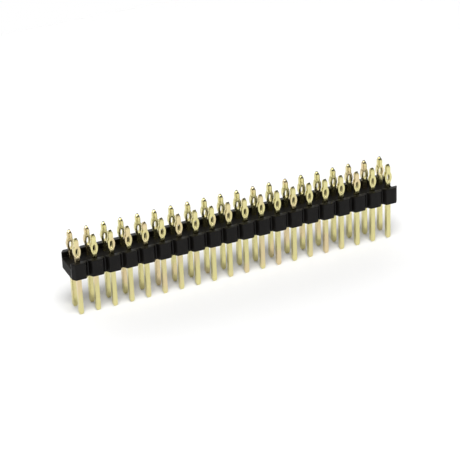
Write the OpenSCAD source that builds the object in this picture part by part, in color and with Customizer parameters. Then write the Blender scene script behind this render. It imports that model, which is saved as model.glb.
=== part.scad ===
// Press-fit pin header strip: a moulded insulator that holds two rows of square contact pins.
// All sizes are in millimetres. The strip stands on its mating tips, as it does on a table:
// its length runs along X, its front and back rows lie along Y, and its press-fit tails point up.

/* [Layout] */
// Contact positions along the strip, with one pin in each row at every position
positions = 20; // [2:1:29]
// Distance from one position to the next
pitch = 2.54; // [2.4:0.01:3]
// Distance between the front row and the back row
row_spacing = 2.54; // [2.4:0.01:3]

/* [Contact wire] */
// Side of the square wire
wire_w = 0.64; // [0.58:0.01:0.7]
// Length of the mating pins below the insulator
mating_len = 6.05; // [4:0.05:9]
// Length of the taper at the mating end
mating_taper_len = 0.3; // [0.2:0.05:0.8]
// Width of the blunt end below that taper
mating_end_w = 0.42; // [0.2:0.02:0.5]

/* [Press-fit tail] */
// Length of the tail above the seating plane of the board
tail_len = 3.6; // [3.4:0.05:4.5]
// Length of the taper at the tail's tip
tail_taper_len = 0.42; // [0.2:0.01:0.5]
// Width of the blunt end above that taper
tail_end_w = 0.28; // [0.2:0.02:0.4]
// Height of the middle of the eye above the seating plane
eye_rise = 1.43; // [1.2:0.01:1.6]
// Width across the two bowed beams of the eye
eye_w = 1.11; // [1.06:0.01:1.2]
// Height over which the beams bow out past the wire
eye_len = 1.7; // [1.5:0.05:2]
// Radius where each beam runs back into the wire
eye_blend_r = 0.3; // [0.1:0.05:0.4]
// Radius at the top and the bottom of the pierced slot
slot_end_r = 0.16; // [0.08:0.01:0.17]
// How far the middle of the slot lies below the middle of the eye
slot_drop = 0.1; // [0:0.01:0.15]

/* [Insulator] */
// Height from the underside to the seating plane
body_h = 2.45; // [2:0.05:3]
// Depth of the channel between the upstands
channel_depth = 0.85; // [0.4:0.05:1.2]
// Thickness of the upstands
upstand_t = 0.74; // [0.6:0.02:0.9]
// Clearance between a contact and the upstand beside it
upstand_gap = 0.21; // [0.1:0.01:0.4]
// Depth of the notches that part the upstands
notch_depth = 0.57; // [0.4:0.01:0.58]
// Length along the strip of each slanting flank of a notch
flank_len = 0.4; // [0.3:0.01:0.6]
// Width of the flat at the bottom of a notch
notch_flat_w = 0.2; // [0.1:0.01:0.4]
// How far the web behind a notch lies below the seating plane
web_drop = 0.2; // [0.1:0.05:0.35]
// Clearance round a contact in its hole, none where it is pressed in
hole_clearance = 0; // [0:0.005:0.02]

/* [Hidden] */
// Contact names count from 01 at the left end
function contact_name(row, i) = str(row, "_pin_", i < 10 ? "0" : "", i);
$fn = 64;

// Levels, measured up from the mating tips
underside_z = mating_len;
seat_z = underside_z + body_h;
channel_floor_z = seat_z - channel_depth;
eye_z = seat_z + eye_rise;
tail_top_z = seat_z + tail_len;

// Insulator plan
channel_w = row_spacing + wire_w + 2 * upstand_gap;
body_w = channel_w + 2 * upstand_t;
notch_y = body_w / 2 - notch_depth;
body_len = positions * pitch - notch_flat_w;
face_w = pitch - notch_flat_w - 2 * flank_len;
hole_w = wire_w + 2 * hole_clearance;

// Eye of the contact: each beam keeps half of the wire's width, since the slot is pierced
// through the middle of the wire and the halves are spread
beam_w = wire_w / 2;
bow_rise = (eye_w - wire_w) / 2;
bow_r = (pow(bow_rise, 2) + pow(eye_len / 2, 2)) / (2 * bow_rise);
bow_offset = bow_r - eye_w / 2;
slot_bow_r = bow_r - beam_w;
slot_end_rise = sqrt(pow(slot_bow_r - slot_end_r, 2) - pow(bow_offset, 2));
slot_side_rise = slot_end_rise * slot_bow_r / (slot_bow_r - slot_end_r);
blend_x = wire_w / 2 + eye_blend_r;
blend_rise = sqrt(pow(bow_r + eye_blend_r, 2) - pow(blend_x + bow_offset, 2));
bow_share = bow_r / (bow_r + eye_blend_r);
bow_end_x = (blend_x + bow_offset) * bow_share - bow_offset;
bow_end_rise = blend_rise * bow_share;

// Centre of position i along the strip, counted from 1
function position_x(i) = (i - (positions + 1) / 2) * pitch;

// Corners of one position's outline on the side that faces y < 0, from left to right
function side_corners(i) = [
    [position_x(i) - face_w / 2 - flank_len, -notch_y],
    [position_x(i) - face_w / 2, -body_w / 2],
    [position_x(i) + face_w / 2, -body_w / 2],
    [position_x(i) + face_w / 2 + flank_len, -notch_y]
];

// Outline of the insulator from above, with a notch on both long sides between positions
module insulator_plan() {
    side = [for (i = [1 : positions]) each side_corners(i)];
    polygon(concat(side, [for (corner = side) -corner]));
}

// Puts its children at position i, in the front row for row = -1 and the back row for row = 1
module at_position(i, row) {
    translate([position_x(i), row * row_spacing / 2, 0]) children();
}

// The body with its long channel, open at the top and at both ends, a gap over the webs between
// neighbouring upstands, and a hole at each contact
module insulator() {
    color([0.13, 0.13, 0.14])
    difference() {
        translate([0, 0, underside_z]) linear_extrude(body_h) insulator_plan();
        translate([-body_len, -channel_w / 2, channel_floor_z])
            cube([2 * body_len, channel_w, 2 * channel_depth]);
        for (i = [1 : positions - 1])
            translate([position_x(i) + (pitch - notch_flat_w) / 2, -body_w / 2, seat_z - web_drop])
                cube([notch_flat_w, body_w, 2 * web_drop]);
        for (i = [1 : positions], row = [-1, 1])
            at_position(i, row)
                translate([-hole_w / 2, -hole_w / 2, 0])
                    cube([hole_w, hole_w, tail_top_z]);
    }
}

// Outline of the tapered wire, seen from the front or from the side
module wire_profile() {
    polygon([
        [-mating_end_w / 2, 0],
        [mating_end_w / 2, 0],
        [wire_w / 2, mating_taper_len],
        [wire_w / 2, tail_top_z - tail_taper_len],
        [tail_end_w / 2, tail_top_z],
        [-tail_end_w / 2, tail_top_z],
        [-wire_w / 2, tail_top_z - tail_taper_len],
        [-wire_w / 2, mating_taper_len]
    ]);
}

// What the two circles that shape the beams share, with a point above and a point below
module bow(radius) {
    intersection() {
        translate([bow_offset, 0]) circle(radius);
        mirror([1, 0]) translate([bow_offset, 0]) circle(radius);
    }
}

// The hollow corner between a beam and the wire, above the eye on its right
module eye_blend() {
    difference() {
        polygon([
            [0, 0],
            [bow_end_x, bow_end_rise],
            [wire_w / 2, blend_rise],
            [0, blend_rise]
        ]);
        translate([blend_x, blend_rise]) circle(eye_blend_r);
    }
}

// The pierced slot between the beams, with rounded ends
module eye_slot() {
    intersection() {
        bow(slot_bow_r);
        square([2 * slot_bow_r, 2 * slot_side_rise], center = true);
    }
    for (side = [-1, 1])
        translate([0, side * slot_end_rise]) circle(slot_end_r);
}

// Front view of a contact
module contact_profile() {
    difference() {
        union() {
            wire_profile();
            translate([0, eye_z]) {
                bow(bow_r);
                for (flip_x = [0, 1], flip_z = [0, 1])
                    mirror([flip_x, 0]) mirror([0, flip_z]) eye_blend();
            }
        }
        translate([0, eye_z - slot_drop]) eye_slot();
    }
}

// One contact, standing on its mating tip: the front view gives the eye, and the side view
// gives the wire its second pair of tapers
module contact() {
    color([0.85, 0.76, 0.45])
    intersection() {
        rotate([90, 0, 0])
            linear_extrude(wire_w, center = true) contact_profile();
        rotate([90, 0, 90])
            linear_extrude(2 * eye_w, center = true) wire_profile();
    }
}

insulator();
for (i = [1 : positions]) {
    at_position(i, -1) contact();
    at_position(i, 1) contact();
}
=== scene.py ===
"""Looks of the press-fit pin header strip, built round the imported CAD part."""

import math

import bmesh
import bpy
from mathutils import Matrix, Vector


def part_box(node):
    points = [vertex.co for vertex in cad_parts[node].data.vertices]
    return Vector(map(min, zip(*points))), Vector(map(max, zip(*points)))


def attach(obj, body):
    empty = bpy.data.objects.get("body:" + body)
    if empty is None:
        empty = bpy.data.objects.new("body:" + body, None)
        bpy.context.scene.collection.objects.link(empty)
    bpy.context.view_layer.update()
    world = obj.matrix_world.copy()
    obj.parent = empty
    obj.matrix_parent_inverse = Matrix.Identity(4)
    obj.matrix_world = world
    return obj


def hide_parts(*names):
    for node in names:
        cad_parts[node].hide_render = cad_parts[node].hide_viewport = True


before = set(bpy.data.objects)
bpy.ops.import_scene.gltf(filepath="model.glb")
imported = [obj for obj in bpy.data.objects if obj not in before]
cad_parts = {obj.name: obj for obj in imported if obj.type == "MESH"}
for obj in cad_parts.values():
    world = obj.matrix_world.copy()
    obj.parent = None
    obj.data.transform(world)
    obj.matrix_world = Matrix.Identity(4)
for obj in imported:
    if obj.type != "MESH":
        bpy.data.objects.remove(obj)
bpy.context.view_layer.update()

MM = 0.001

# Layout of the strip, as in the CAD part
POSITIONS = 20
PITCH = 2.54 * MM
ROWS = {"front": -PITCH / 2, "back": PITCH / 2}

# Levels, measured up from the mating tips. Three are read off the CAD part.
UNDERSIDE_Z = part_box("insulator")[0].z
SEAT_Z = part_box("insulator")[1].z
CHANNEL_Z = SEAT_Z - 0.85 * MM
WEB_Z = SEAT_Z - 0.2 * MM
EYE_Z = SEAT_Z + 1.43 * MM
SLOT_Z = EYE_Z - 0.1 * MM
TAIL_TOP_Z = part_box("front_pin_01")[1].z
TAIL_TAPER_Z = TAIL_TOP_Z - 0.54 * MM
MATING_TAPER_Z = 0.3 * MM

# Square wire and its two drawn-out ends. The tail's end is cut at a slant: TAIL_LEAN is how
# much lower its far edge lies, and the two tapers are how far its edges stand in from the wire.
WIRE = 0.64 * MM
MATING_END = 0.42 * MM
TAIL_END = 0.28 * MM
TAIL_LONG_TAPER = 0.2 * MM
TAIL_SHORT_TAPER = 0.13 * MM
TAIL_LEAN = 0.23 * MM
WIRE_EDGE = 0.028 * MM

# Eye: each beam's outer side is an arc about BOW_X that a blend at each end runs into the wire
EYE_W = 1.07 * MM
EYE_LEN = 1.7 * MM
BLEND_R = 0.3 * MM
BOW_RISE = (EYE_W - WIRE) / 2
BOW_R = (BOW_RISE**2 + (EYE_LEN / 2) ** 2) / (2 * BOW_RISE)
BOW_X = EYE_W / 2 - BOW_R

# Slot of the eye: bowed sides, round ends and coined rims
SLOT_W = 0.32 * MM
SLOT_END_R = 0.11 * MM
SLOT_END_RISE = 0.42 * MM
SLOT_COIN = 0.15 * MM

# Insulator from above
CHANNEL_W = 3.6 * MM
UPSTAND_T = 0.74 * MM
NOTCH_DEPTH = 0.57 * MM
FLANK_LEN = 0.4 * MM
NOTCH_FLAT = 0.2 * MM
FACE_W = PITCH - NOTCH_FLAT - 2 * FLANK_LEN
UPSTAND_X = (PITCH - NOTCH_FLAT) / 2
WEB_Y = CHANNEL_W / 2 + UPSTAND_T - NOTCH_DEPTH
MOULD_EDGE = 0.035 * MM

# How finely arcs and rounded edges are divided
BLEND_STEPS = 4
BOW_STEPS = 18
SLOT_SIDE_STEPS = 14
SLOT_END_STEPS = 8
COIN_SEGMENTS = 4
WIRE_SEGMENTS = 2
MOULD_SEGMENTS = 3

# Edges at which the faces turn by more than this are rounded. The insulator's limit takes in
# the ends of its upstands, and the wire's leaves out the tapers.
WIRE_SHARP = math.radians(40)
MOULD_SHARP = math.radians(20)

# Limits for telling places apart, and for telling a wall through the wire by its normal's y
TOUCH = 0.0001 * MM
SLOT_SLACK = 0.005 * MM
CROSSWAYS = 0.5

# Materials of a contact, in the order of its slots
WIRE_FACES = 0
SLOT_WALL = 1

# Depth of every relief, and half the height over which the finish of the tips fades in
BUMP_DEPTH = 0.01 * MM
TIP_FADE = 0.04 * MM

# Sockets of a Mix node for colours, by number, because its names stand for several
MIX_SHARE = 0
MIX_LOW = 6
MIX_HIGH = 7
MIX_RESULT = 2

# Camera of the photograph, in degrees, and its lens on a 36 mm sensor
CAMERA_AT = Vector((-103.25, -246.05, 149.7)) * MM
CAMERA_AZIMUTH = 22.66
CAMERA_DROP = 28.20
CAMERA_ROLL = 2.44
CAMERA_LENS = 165.75
SENSOR = 36.0
NEAREST_SEEN = 0.01

# Studio: a square floor that ends FLOOR_BACK behind the strip's middle, and square lamps aimed
# at the floor under it, each with its place, the length of its side and its power in watts
FLOOR_SIDE = 0.5
FLOOR_BACK = 0.1
LAMPS = {
    "key": ((-0.12, -0.34, 0.8), 0.48, 6.8),
    "top": ((0.31, -0.26, 0.8), 0.35, 0.9),
}


# Shader helpers


class Wire:
    """A socket's value, on which Python's operators add Math nodes."""

    def __init__(self, nodes, socket):
        self.nodes = nodes
        self.socket = socket

    def maths(self, operation, *values):
        inputs = dict(enumerate(values))
        return self.nodes.add("Math", {"operation": operation}, inputs)

    def __add__(self, other):
        return self.maths("ADD", self, other)

    def __radd__(self, other):
        return self.maths("ADD", other, self)

    def __sub__(self, other):
        return self.maths("SUBTRACT", self, other)

    def __rsub__(self, other):
        return self.maths("SUBTRACT", other, self)

    def __mul__(self, other):
        return self.maths("MULTIPLY", self, other)

    def __rmul__(self, other):
        return self.maths("MULTIPLY", other, self)

    def ramp(self, low, high):
        """0 below low, 1 above high and a smooth rise between them."""
        settings = {"interpolation_type": "SMOOTHSTEP"}
        inputs = {"Value": self, "From Min": low, "From Max": high}
        return self.nodes.add("MapRange", settings, inputs, "Result")

    def between(self, low, high):
        """The number low where this is 0 and high where it is 1."""
        return low + self * (high - low)


class Nodes:
    """The nodes of one material, or of the world."""

    def __init__(self, owner):
        self.owner = owner
        owner.use_nodes = True
        self.tree = owner.node_tree
        self.tree.nodes.clear()

    def add(self, kind, settings=None, inputs=None, output=0):
        """One node: its settings first, then its sockets' values or links."""
        node = self.tree.nodes.new("ShaderNode" + kind)
        for name, value in (settings or {}).items():
            setattr(node, name, value)
        for name, value in (inputs or {}).items():
            if isinstance(value, Wire):
                self.tree.links.new(value.socket, node.inputs[name])
            else:
                node.inputs[name].default_value = value
        return Wire(self, node.outputs[output]) if node.outputs else None

    def place(self, coordinates):
        """Object coordinates on a piece, or Generated ones, which are directions in a world."""
        return self.add("TexCoord", None, None, coordinates)

    def along(self, axis, coordinates="Object"):
        """How far a point lies along an axis, or how far a direction points along it."""
        return self.add("SeparateXYZ", None, {"Vector": self.place(coordinates)}, axis)

    def noise(self, cells, detail):
        """Noise from 0 to 1, with so many cells to a metre along each axis."""
        place = self.add("Mapping", None, {"Vector": self.place("Object"), "Scale": cells})
        inputs = {"Vector": place, "Scale": 1.0, "Detail": detail}
        return self.add("TexNoise", None, inputs, "Fac")

    def mixed(self, share, low, high):
        """The colour low where share is 0 and high where it is 1."""
        inputs = {MIX_SHARE: share, MIX_LOW: low, MIX_HIGH: high}
        return self.add("Mix", {"data_type": "RGBA"}, inputs, MIX_RESULT)

    def bumped(self, height, strength):
        """A normal from a relief of BUMP_DEPTH."""
        inputs = {"Height": height, "Strength": strength, "Distance": BUMP_DEPTH}
        return self.add("Bump", None, inputs, "Normal")

    def ray(self, kind):
        """1 for rays of one kind and 0 for all others."""
        return self.add("LightPath", None, None, f"Is {kind} Ray")

    def surface(self, inputs):
        shader = self.add("BsdfPrincipled", None, inputs)
        self.add("OutputMaterial", None, {"Surface": shader})
        return self.owner


def new_finish(name):
    return Nodes(bpy.data.materials.new(name))


def colour(red, green, blue):
    return (red, green, blue, 1.0)


# Materials


def gold_plate():
    """Thin pale gold on drawn wire, with faint lines along it, warm patches and smoother, slightly
    darker tips.
    """
    pale = colour(0.71, 0.655, 0.315)
    warm = colour(0.74, 0.57, 0.38)
    # The tips are mixed a tenth of the way towards this dark olive, so they are a little darker
    # than the wire, and they are smoother.
    darker_tip = colour(0.2, 0.19, 0.08)
    most_warm = 0.65
    tip_darkening = 0.1
    smoothing = 0.4
    mating_tip_z = MATING_TAPER_Z / 4
    f = new_finish("gold_plate")
    lines = f.noise(cells=(16000.0, 16000.0, 700.0), detail=3.0)
    patches = f.noise(cells=(230.0, 230.0, 200.0), detail=2.0).ramp(0.5, 0.68)
    height = f.along("Z")
    tail_tip = height.ramp(TAIL_TAPER_Z - TIP_FADE, TAIL_TAPER_Z + TIP_FADE)
    mating_tip = 1 - height.ramp(mating_tip_z - TIP_FADE, mating_tip_z + TIP_FADE)
    tips = tail_tip + mating_tip
    tone = f.mixed(patches * most_warm, pale, warm)
    return f.surface(
        {
            "Base Color": f.mixed(tips * tip_darkening, tone, darker_tip),
            "Metallic": 1.0,
            "Roughness": lines.between(0.19, 0.31) * (1 - tips * smoothing),
            "Normal": f.bumped(lines, strength=0.15),
        }
    )


def sheared_plate():
    """The punched wall of the slot, rougher than the drawn faces and streaked through the wire."""
    dull = colour(0.7, 0.64, 0.36)
    bright = colour(0.86, 0.8, 0.5)
    f = new_finish("sheared_plate")
    streaks = f.noise(cells=(9000.0, 600.0, 9000.0), detail=3.0)
    return f.surface(
        {
            "Base Color": f.mixed(streaks, dull, bright),
            "Metallic": 1.0,
            "Roughness": streaks.between(0.34, 0.54),
            "Normal": f.bumped(streaks, strength=0.4),
        }
    )


def moulded_plastic():
    """Black glass-filled plastic, satin, with the fine texture of its mould. It is rougher
    between the upstands, the more so the lower it lies."""
    soot = colour(0.0024, 0.0019, 0.0015)
    slate = colour(0.0042, 0.0034, 0.0028)
    roughening = 0.3
    wall_y = CHANNEL_W / 2
    fade_y = CHANNEL_W / 2.2
    f = new_finish("moulded_plastic")
    texture = f.noise(cells=(14000.0, 14000.0, 14000.0), detail=4.0)
    clouds = f.noise(cells=(500.0, 500.0, 500.0), detail=2.0).ramp(0.35, 0.7)
    across = f.along("Y")
    inside = 1 - (across * across).ramp(fade_y**2, wall_y**2)
    low = 1 - f.along("Z").ramp(CHANNEL_Z + MOULD_EDGE, SEAT_Z)
    return f.surface(
        {
            "Base Color": f.mixed(clouds, soot, slate),
            "Roughness": texture.between(0.28, 0.4) + inside * low * roughening,
            "Specular IOR Level": 0.16,
            "Normal": f.bumped(texture, strength=0.2),
        }
    )


def studio_floor():
    f = new_finish("studio_floor")
    return f.surface({"Base Color": colour(0.96, 0.96, 0.96), "Roughness": 0.9})


# Mesh helpers


def arc(cx, cz, radius, start, end, steps):
    """Points on an arc, both ends included."""
    turns = [start + (end - start) * k / steps for k in range(steps + 1)]
    return [(cx + radius * math.cos(t), cz + radius * math.sin(t)) for t in turns]


def verts_of(geometry):
    return [g for g in geometry if isinstance(g, bmesh.types.BMVert)]


def faces_at(bm, z):
    """The faces that lie level at the height z."""
    return [f for f in bm.faces if all(abs(v.co.z - z) < TOUCH for v in f.verts)]


def sharp_edges(bm, least_turn):
    """The edges at which two faces turn by more than least_turn."""
    return [e for e in bm.edges if e.is_manifold and e.calc_face_angle() > least_turn]


def level_rectangle(length, depth, middle):
    """A new mesh of one level face."""
    bm = bmesh.new()
    # A grid's size counts from its middle, so this one is 1 m wide before it is scaled
    bmesh.ops.create_grid(bm, x_segments=1, y_segments=1, size=0.5)
    bmesh.ops.scale(bm, verts=bm.verts, vec=(length, depth, 1))
    bmesh.ops.translate(bm, verts=bm.verts, vec=middle)
    return bm


def cut(bm, at, normal, clear_outer=False):
    """Cuts the mesh across, and drops what lies beyond if clear_outer is set."""
    bmesh.ops.bisect_plane(
        bm,
        geom=bm.verts[:] + bm.edges[:] + bm.faces[:],
        dist=TOUCH,
        plane_co=at,
        plane_no=normal,
        clear_outer=clear_outer,
    )


def moved_copy(bm, faces, shift):
    """Extrudes faces by a shift, with the old ones kept."""
    grown = bmesh.ops.extrude_face_region(bm, geom=faces, use_keep_orig=True)["geom"]
    bmesh.ops.translate(bm, verts=verts_of(grown), vec=shift)


def rounded(bm, edges, width, segments):
    bmesh.ops.bevel(
        bm,
        geom=edges,
        offset=width,
        segments=segments,
        profile=0.5,
        affect="EDGES",
        material=-1,
        loop_slide=False,
        clamp_overlap=True,
    )


def finished(bm, name, *materials):
    """The mesh as an object at the origin, shaded smooth with its flat faces kept flat. It frees
    the bmesh."""
    mesh = bpy.data.meshes.new(name)
    bm.to_mesh(mesh)
    bm.free()
    for face in mesh.polygons:
        face.use_smooth = True
    for material in materials:
        mesh.materials.append(material)
    piece = bpy.data.objects.new(name, mesh)
    bpy.context.scene.collection.objects.link(piece)
    normals = piece.modifiers.new("face_normals", "WEIGHTED_NORMAL")
    normals.keep_sharp = True
    return piece


def position_x(i):
    """Middle of position i along the strip, counted from 1."""
    return (i - (POSITIONS + 1) / 2) * PITCH


# Contact


def eye_side():
    """Right side of the eye seen from the front, going up, with a blend at each end."""
    blend_x = WIRE / 2 + BLEND_R
    blend_z = math.sqrt((BOW_R + BLEND_R) ** 2 - (blend_x - BOW_X) ** 2)
    lean = math.atan2(blend_z, blend_x - BOW_X)
    lower = arc(blend_x, EYE_Z - blend_z, BLEND_R, math.pi, math.pi - lean, BLEND_STEPS)
    bow = arc(BOW_X, EYE_Z, BOW_R, -lean, lean, BOW_STEPS)
    upper = arc(blend_x, EYE_Z + blend_z, BLEND_R, math.pi + lean, math.pi, BLEND_STEPS)
    return lower + bow[1:-1] + upper


def slot_rim():
    """The rim of the pierced slot, anticlockwise."""
    half = SLOT_W / 2
    side_r = (half**2 - SLOT_END_R**2 + SLOT_END_RISE**2) / (2 * (half - SLOT_END_R))
    lean = math.atan2(SLOT_END_RISE, side_r - half)
    side = arc(half - side_r, 0, side_r, -lean, lean, SLOT_SIDE_STEPS)
    end = arc(0, SLOT_END_RISE, SLOT_END_R, lean, math.pi - lean, SLOT_END_STEPS)
    rim = (side + end[1:])[:-1]
    return [(x, SLOT_Z + z) for x, z in rim] + [(-x, SLOT_Z - z) for x, z in rim]


def pierced_plate():
    """The contact between its two tapers, as thick as the wire, about x = 0 and y = 0."""
    side = [(WIRE / 2, MATING_TAPER_Z)] + eye_side() + [(WIRE / 2, TAIL_TAPER_Z)]
    outline = side + [(-x, z) for x, z in reversed(side)]
    bm = bmesh.new()
    edges = []
    for rim in (outline, slot_rim()):
        verts = [bm.verts.new((x, -WIRE / 2, z)) for x, z in rim]
        edges += [bm.edges.new(pair) for pair in zip(verts, verts[1:] + verts[:1])]
    bmesh.ops.triangle_fill(bm, use_beauty=True, edges=edges)
    moved_copy(bm, list(bm.faces), (0, WIRE, 0))
    return bm


def draw_out(bm, from_z, near, far):
    """Draws the end face at from_z out to a near and a far edge, each given as (width, y, z)."""
    cap = faces_at(bm, from_z)
    grown = bmesh.ops.extrude_face_region(bm, geom=cap)["geom"]
    for v in verts_of(grown):
        width, y, z = near if v.co.y < 0 else far
        v.co = math.copysign(width / 2, v.co.x), y, z
    bmesh.ops.delete(bm, geom=cap, context="FACES_ONLY")


def draw_out_ends(bm):
    """Adds the blunt mating end and the slanting tail end."""
    near = MATING_END, -MATING_END / 2, 0.0
    far = MATING_END, MATING_END / 2, 0.0
    draw_out(bm, MATING_TAPER_Z, near, far)
    # The taper narrows the far edge less, because it lies lower
    spare = (WIRE - TAIL_END) * TAIL_LEAN / (TAIL_TOP_Z - TAIL_TAPER_Z)
    near = TAIL_END, TAIL_LONG_TAPER - WIRE / 2, TAIL_TOP_Z
    far = TAIL_END + spare, WIRE / 2 - TAIL_SHORT_TAPER, TAIL_TOP_Z - TAIL_LEAN
    draw_out(bm, TAIL_TAPER_Z, near, far)


def on_slot_wall(face):
    """Whether a face is part of the slot's wall, which runs through the wire."""
    c = face.calc_center_median()
    in_slot = abs(c.x) < SLOT_W / 2 + SLOT_SLACK and abs(c.z - EYE_Z) < EYE_LEN / 2
    return in_slot and abs(face.normal.y) < CROSSWAYS


def slot_edges(bm, y):
    """The rim of the slot at y, where the wall's material meets the other."""
    return [
        e
        for e in bm.edges
        if all(abs(v.co.y - y) < TOUCH for v in e.verts)
        and sorted(f.material_index for f in e.link_faces) == [WIRE_FACES, SLOT_WALL]
    ]


def contact_mesh():
    """One contact, with the rims of its slot coined and its other edges rounded."""
    bm = pierced_plate()
    draw_out_ends(bm)
    bmesh.ops.recalc_face_normals(bm, faces=bm.faces)
    for f in bm.faces:
        f.material_index = SLOT_WALL if on_slot_wall(f) else WIRE_FACES
    for y in (-WIRE / 2, WIRE / 2):
        rounded(bm, slot_edges(bm, y), SLOT_COIN, COIN_SEGMENTS)
    rounded(bm, sharp_edges(bm, WIRE_SHARP), WIRE_EDGE, WIRE_SEGMENTS)
    return bm


def make_contacts():
    """All contacts. The back row is turned by half a turn, as the slants of its tips show."""
    finishes = gold_plate(), sheared_plate()
    for row, y in ROWS.items():
        for i in range(1, POSITIONS + 1):
            bm = contact_mesh()
            if row == "back":
                bmesh.ops.rotate(bm, verts=bm.verts, matrix=Matrix.Rotation(math.pi, 3, "Z"))
            bmesh.ops.translate(bm, verts=bm.verts, vec=(position_x(i), y, 0))
            piece = finished(bm, f"contact_{row}_{i:02d}", *finishes)
            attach(piece, "root")
            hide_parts(f"{row}_pin_{i:02d}")


# Insulator


def over_hole(face):
    """Whether a face of the channel's floor lies over the hole of a contact."""
    c = face.calc_center_median()
    return abs(c.x) < WIRE / 2 and abs(abs(c.y) - ROWS["back"]) < WIRE / 2


def cell_floor():
    """The channel's floor at one position, divided at the upstands' ends and open at its holes."""
    bm = level_rectangle(PITCH, CHANNEL_W, (0, 0, CHANNEL_Z))
    for x in (WIRE / 2, UPSTAND_X):
        for side in (-1, 1):
            cut(bm, (side * x, 0, 0), (1, 0, 0))
    for y in ROWS.values():
        for side in (-1, 1):
            cut(bm, (0, y + side * WIRE / 2, 0), (0, 1, 0))
    bmesh.ops.delete(bm, geom=[f for f in bm.faces if over_hole(f)], context="FACES")
    return bm


def grown_side(bm, side, from_y, reach_x, to_y, narrowing):
    """Widens the plan to to_y from the rim at from_y, within reach_x, and returns the new faces.
    The new rim is as long as the old one times narrowing."""
    rim = []
    for e in bm.edges:
        middle = (e.verts[0].co + e.verts[1].co) / 2
        on_side = abs(middle.y - side * from_y) < TOUCH
        if on_side and abs(middle.x) < reach_x and len(e.link_faces) == 1:
            rim.append(e)
    grown = bmesh.ops.extrude_edge_only(bm, edges=rim)["geom"]
    verts = verts_of(grown)
    bmesh.ops.translate(bm, verts=verts, vec=(0, side * (to_y - from_y), 0))
    bmesh.ops.scale(bm, verts=verts, vec=(narrowing, 1, 1))
    return [g for g in grown if isinstance(g, bmesh.types.BMFace)]


def cell_mesh():
    """The insulator about one position, open where the next positions join on."""
    bm = cell_floor()
    floor = list(bm.faces)
    walls = []
    for side in (-1, 1):
        walls += grown_side(bm, side, CHANNEL_W / 2, PITCH, WEB_Y, 1)
        face_y = WEB_Y + NOTCH_DEPTH
        walls += grown_side(bm, side, WEB_Y, UPSTAND_X, face_y, FACE_W / 2 / UPSTAND_X)
    moved_copy(bm, floor + walls, (0, 0, UNDERSIDE_Z - CHANNEL_Z))
    moved_copy(bm, walls, (0, 0, WEB_Z - CHANNEL_Z))
    bmesh.ops.delete(bm, geom=walls, context="FACES")
    upstands = [f for f in faces_at(bm, WEB_Z) if abs(f.calc_center_median().x) < UPSTAND_X]
    moved_copy(bm, upstands, (0, 0, SEAT_Z - WEB_Z))
    bmesh.ops.delete(bm, geom=upstands, context="FACES")
    ends = [f for f in bm.faces if all(abs(abs(v.co.x) - PITCH / 2) < TOUCH for v in f.verts)]
    bmesh.ops.delete(bm, geom=ends, context="FACES")
    return bm


def insulator_mesh():
    """All the positions side by side, with the ends cut off square and closed."""
    bm = cell_mesh()
    cell = bm.verts[:] + bm.edges[:] + bm.faces[:]
    for i in range(1, POSITIONS + 1):
        copied = bmesh.ops.duplicate(bm, geom=cell)["geom"]
        bmesh.ops.translate(bm, verts=verts_of(copied), vec=(position_x(i), 0, 0))
    bmesh.ops.delete(bm, geom=verts_of(cell))
    bmesh.ops.remove_doubles(bm, verts=bm.verts, dist=TOUCH)
    end_x = (POSITIONS * PITCH - NOTCH_FLAT) / 2
    for side in (-1, 1):
        cut(bm, (side * end_x, 0, 0), (side, 0, 0), clear_outer=True)
    open_edges = [e for e in bm.edges if e.is_boundary]
    bmesh.ops.holes_fill(bm, edges=open_edges, sides=0)
    bmesh.ops.recalc_face_normals(bm, faces=bm.faces)
    rounded(bm, sharp_edges(bm, MOULD_SHARP), MOULD_EDGE, MOULD_SEGMENTS)
    return bm


def make_insulator():
    piece = finished(insulator_mesh(), "insulator_body", moulded_plastic())
    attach(piece, "root")
    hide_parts("insulator")


# Studio


def make_floor():
    bm = level_rectangle(FLOOR_SIDE, FLOOR_SIDE, (0, FLOOR_BACK - FLOOR_SIDE / 2, 0))
    finished(bm, "floor", studio_floor())


def make_lamps():
    for name, (place, side, power) in LAMPS.items():
        data = bpy.data.lights.new(name, "AREA")
        data.size = side
        data.energy = power
        lamp = bpy.data.objects.new(name, data)
        lamp.location = Vector(place)
        lamp.rotation_mode = "QUATERNION"
        lamp.rotation_quaternion = (-Vector(place)).to_track_quat("-Z", "Y")
        bpy.context.scene.collection.objects.link(lamp)


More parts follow.
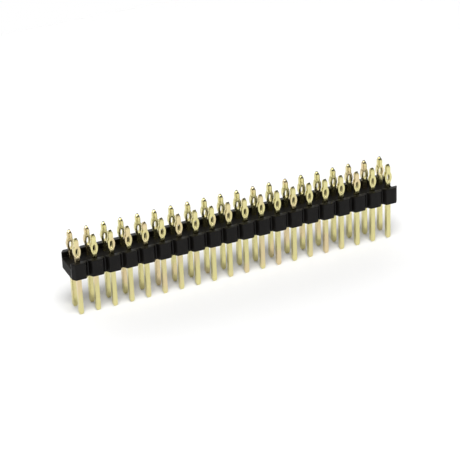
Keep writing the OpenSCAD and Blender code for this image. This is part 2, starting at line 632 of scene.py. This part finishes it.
def make_world():
    """A dim studio with a band of light low in front and a bright wall behind. The camera sees
    white all round, and so do mirrored and clear rays below the horizon."""
    dim = 0.05
    bright_front = 0.9
    bright_wall = 1.6
    world = bpy.data.worlds.new("studio")
    bpy.context.scene.world = world
    w = Nodes(world)
    # A direction has a height from -1 to 1, and a way back from -1 in front to 1 behind
    height = w.along("Z", "Generated")
    back = w.along("Y", "Generated")
    low_front = (1 - height.ramp(0.2, 0.32)) * (1 - back.ramp(-0.92, -0.6))
    wall = height.ramp(0.05, 0.32) * (1 - height.ramp(0.6, 0.9))
    glow = dim + low_front * bright_front + wall * back.ramp(0.2, 0.8).between(dim, bright_wall)
    below = 1 - height.ramp(-0.02, 0.0)
    kinds = w.ray("Camera") + (w.ray("Glossy") + w.ray("Transmission")) * below
    # A ray may be of two kinds, so their sum is held to 1
    white = kinds.ramp(0.0, 1.0)
    inputs = {"Color": colour(1.0, 1.0, 1.0), "Strength": white + (1 - white) * glow}
    shader = w.add("Background", None, inputs)
    w.add("OutputWorld", None, {"Surface": shader})


def make_camera():
    """The camera of the photograph, which looks along +Y when its azimuth is 0."""
    azimuth = math.radians(CAMERA_AZIMUTH)
    drop = math.radians(CAMERA_DROP)
    roll = math.radians(CAMERA_ROLL)
    heading = Vector((math.sin(azimuth), math.cos(azimuth), 0))
    ahead = heading * math.cos(drop) - Vector((0, 0, math.sin(drop)))
    level = Vector((math.cos(azimuth), -math.sin(azimuth), 0))
    right = level * math.cos(roll) + ahead.cross(level) * math.sin(roll)
    turn = Matrix((right, right.cross(ahead), -ahead)).transposed()
    data = bpy.data.cameras.new("camera")
    data.sensor_width = SENSOR
    data.lens = CAMERA_LENS
    data.clip_start = NEAREST_SEEN
    camera = bpy.data.objects.new("camera", data)
    camera.matrix_world = Matrix.Translation(CAMERA_AT) @ turn.to_4x4()
    bpy.context.scene.collection.objects.link(camera)
    bpy.context.scene.camera = camera


make_insulator()
make_contacts()
make_floor()
make_lamps()
make_world()
make_camera()
bpy.context.scene.view_settings.view_transform = "Standard"
